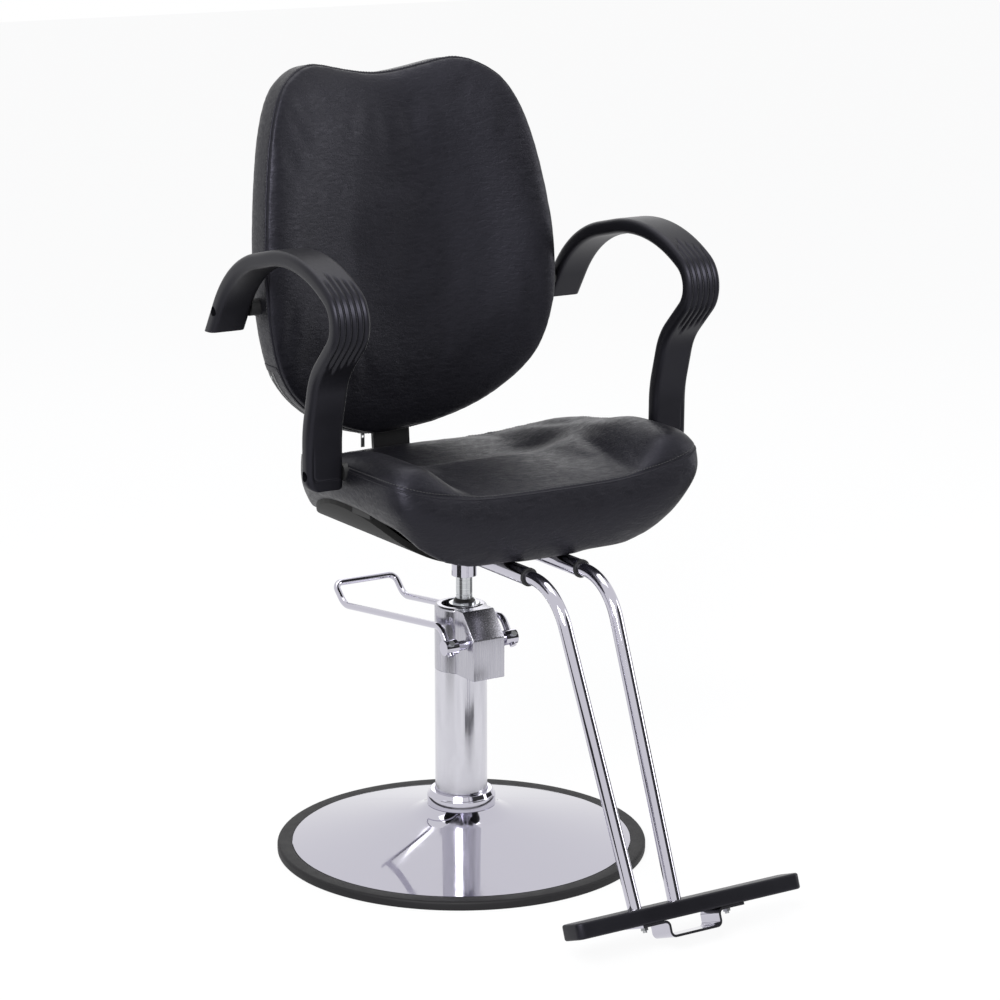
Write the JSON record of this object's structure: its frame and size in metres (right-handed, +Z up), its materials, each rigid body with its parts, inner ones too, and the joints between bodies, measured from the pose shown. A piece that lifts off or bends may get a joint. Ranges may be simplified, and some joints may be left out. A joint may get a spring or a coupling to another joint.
{
  "type": "hydraulic salon chair",
  "caption": "Black padded salon chair with hooked armrests, bar footrest, hand pump column and round chrome base.",
  "frame": {"origin": "centre of the round base at floor level", "axes": "+Z up, the sitter faces -Y, +X to the sitter's left"},
  "size_m": [0.624, 0.8088, 1.1302],
  "materials": {
    "rubber_black": "moulded black rubber, dull",
    "rim_rubber": "dark grey rubber trim, satin",
    "mirror_chrome": "mirror chrome",
    "ground_steel": "ground steel",
    "cast_head": "cast, sides brushed and faces polished",
    "plate_steel": "grey painted steel",
    "black_steel": "black enamelled steel",
    "zinc_steel": "zinc plated fasteners",
    "black_screws": "black oxide screws",
    "bronze": "sintered bronze",
    "plywood": "dark stained moulded plywood",
    "black_vinyl": "black grained vinyl-coated cloth over foam",
    "skin_foam": "black integral skin foam, satin",
    "plate_foam": "black moulded footplate cover",
    "zip_tape": "black woven zip tape with nylon coil",
    "zip_metal": "nickel plated slider and pull"
  },
  "bodies": {
    "base": {"base_underplate": "plate_steel", "base_rim": "rim_rubber", "base_dome": "mirror_chrome", "base_screws": "zinc_steel", "pump_flange": "plate_steel", "base_collar": "mirror_chrome", "pump_column": "mirror_chrome", "pump_head": "cast_head", "pump_cylinder": "ground_steel", "cylinder_plug": "plate_steel", "rod_gland": "ground_steel", "rod_wiper": "rubber_black"},
    "lever": {"lever_shaft": "mirror_chrome", "pump_lever": "mirror_chrome", "lever_screws": "black_screws", "lever_cam": "ground_steel"},
    "plunger": {"pump_plunger": "ground_steel"},
    "lift": {"piston_head": "ground_steel", "piston_ring": "rubber_black", "thrust_washer": "bronze"},
    "seat": {"piston_rod": "ground_steel", "seat_socket": "mirror_chrome", "seat_mount_plate": "black_steel", "seat_plate_bolts": "zinc_steel", "seat_board": "plywood", "seat_cushion": "black_vinyl", "seat_inserts": "black_steel", "back_bracket": "black_steel", "back_bracket_bolts": "zinc_steel", "back_board": "plywood", "back_cushion": "black_vinyl", "back_cover": "black_vinyl", "back_inserts": "black_steel", "zip_tape": "zip_tape", "zip_slider": "zip_metal", "arm_left": "skin_foam", "arm_right": "skin_foam", "arm_core_left": "plate_steel", "arm_core_right": "plate_steel", "arm_screws": "black_screws", "footrest_bracket": "black_steel", "footrest_bracket_bolts": "zinc_steel", "footrest_sleeve_left": "mirror_chrome", "footrest_sleeve_right": "mirror_chrome", "sleeve_rings": "rubber_black", "footrest_tube_left": "mirror_chrome", "footrest_tube_right": "mirror_chrome", "footplate_core": "plate_steel", "footplate_cover": "plate_foam", "footplate_strap": "zinc_steel", "footplate_bolts": "zinc_steel"},
    "zip_pull": {"zip_pull": "zip_metal"}
  },
  "joints": [
    {"name": "lift", "type": "slide", "parent": "base", "child": "lift", "axis": [0, 0, 1], "range_m": [0, 0.15]},
    {"name": "swivel", "type": "hinge", "parent": "lift", "child": "seat", "pos_m": [0.006, 0, 0.45], "axis": [0, 0, 1], "continuous": true},
    {"name": "lever_hinge", "type": "hinge", "parent": "base", "child": "lever", "pos_m": [0, -0.051, 0.322], "axis": [1, 0, 0], "range_deg": [-28, 10], "stiffness_Nm_per_rad": 30},
    {"name": "plunger_slide", "type": "slide", "parent": "base", "child": "plunger", "axis": [0, 0, 1], "range_m": [-0.0082, 0.003]},
    {"name": "zip_pull", "type": "hinge", "parent": "seat", "child": "zip_pull", "pos_m": [-0.032, 0.22538, 0.57969], "axis": [1, 0, 0], "range_deg": [-70, 70]}
  ],
  "couplings": [
    {"joint": "plunger_slide", "follows": "lever_hinge", "m_per_rad": 0.016}
  ]
}
